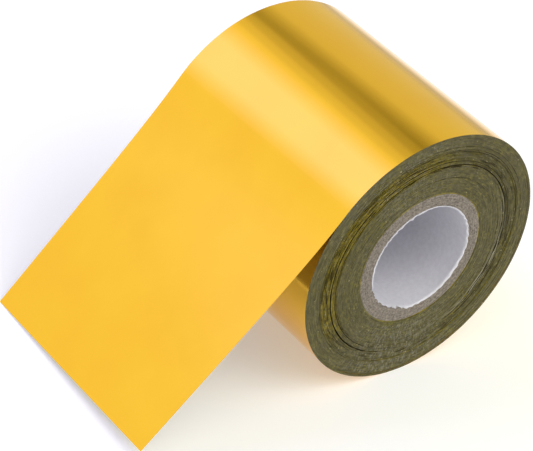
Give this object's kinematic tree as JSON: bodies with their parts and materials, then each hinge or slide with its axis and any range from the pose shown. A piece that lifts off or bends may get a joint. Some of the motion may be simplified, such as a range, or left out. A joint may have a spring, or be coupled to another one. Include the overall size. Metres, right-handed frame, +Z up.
{
  "type": "roll of metallised film",
  "caption": "Roll of gold metallised film wound on a fibreboard core, with a short square-cut free tail let down to the floor.",
  "frame": {"origin": "on the axis of the core's bore, at half the film's width", "axes": "+Y along the roll's axis, +Z up with the roll lying on its side, the free tail running down towards -X"},
  "size_m": [0.0997, 0.0602, 0.063],
  "materials": {
    "liner": "smooth white paper",
    "chipboard": "grey-brown cut board",
    "start_laps": "yellow-green film edges",
    "film_edges": "matt stack of slit film edges",
    "metallised_film": "mirror-bright gold metallised polyester"
  },
  "bodies": {
    "outer_path": {"film_outer_laps": "metallised_film", "film_take_off": "metallised_film"},
    "winding": {"core_liner": "liner", "core_ply_1": "chipboard", "core_ply_2": "chipboard", "core_ply_3": "chipboard", "core_ply_4": "chipboard", "core_ply_5": "chipboard", "film_start_laps": "start_laps", "film_band_1": "film_edges", "film_band_2": "film_edges", "film_band_3": "film_edges", "film_band_4": "film_edges"},
    "tail": {"film_tail": "metallised_film"},
    "tail_end": {"film_tail_end": "metallised_film"}
  },
  "joints": [
    {"name": "winding_turn", "type": "hinge", "parent": "outer_path", "child": "winding", "pos_m": [0, 0, 0], "axis": [0, -1, 0], "range_deg": [0, 90]},
    {"name": "tail_pay_out", "type": "slide", "parent": "outer_path", "child": "tail", "axis": [-1, 0, 0], "range_m": [0, 0.0495]},
    {"name": "tail_end_lift", "type": "hinge", "parent": "tail", "child": "tail_end", "pos_m": [-0.05392, 0, -0.01567], "axis": [0, 1, 0], "range_deg": [0, 60]}
  ],
  "couplings": [
    {"joint": "tail_pay_out", "follows": "winding_turn", "m_per_rad": 0.0315}
  ]
}
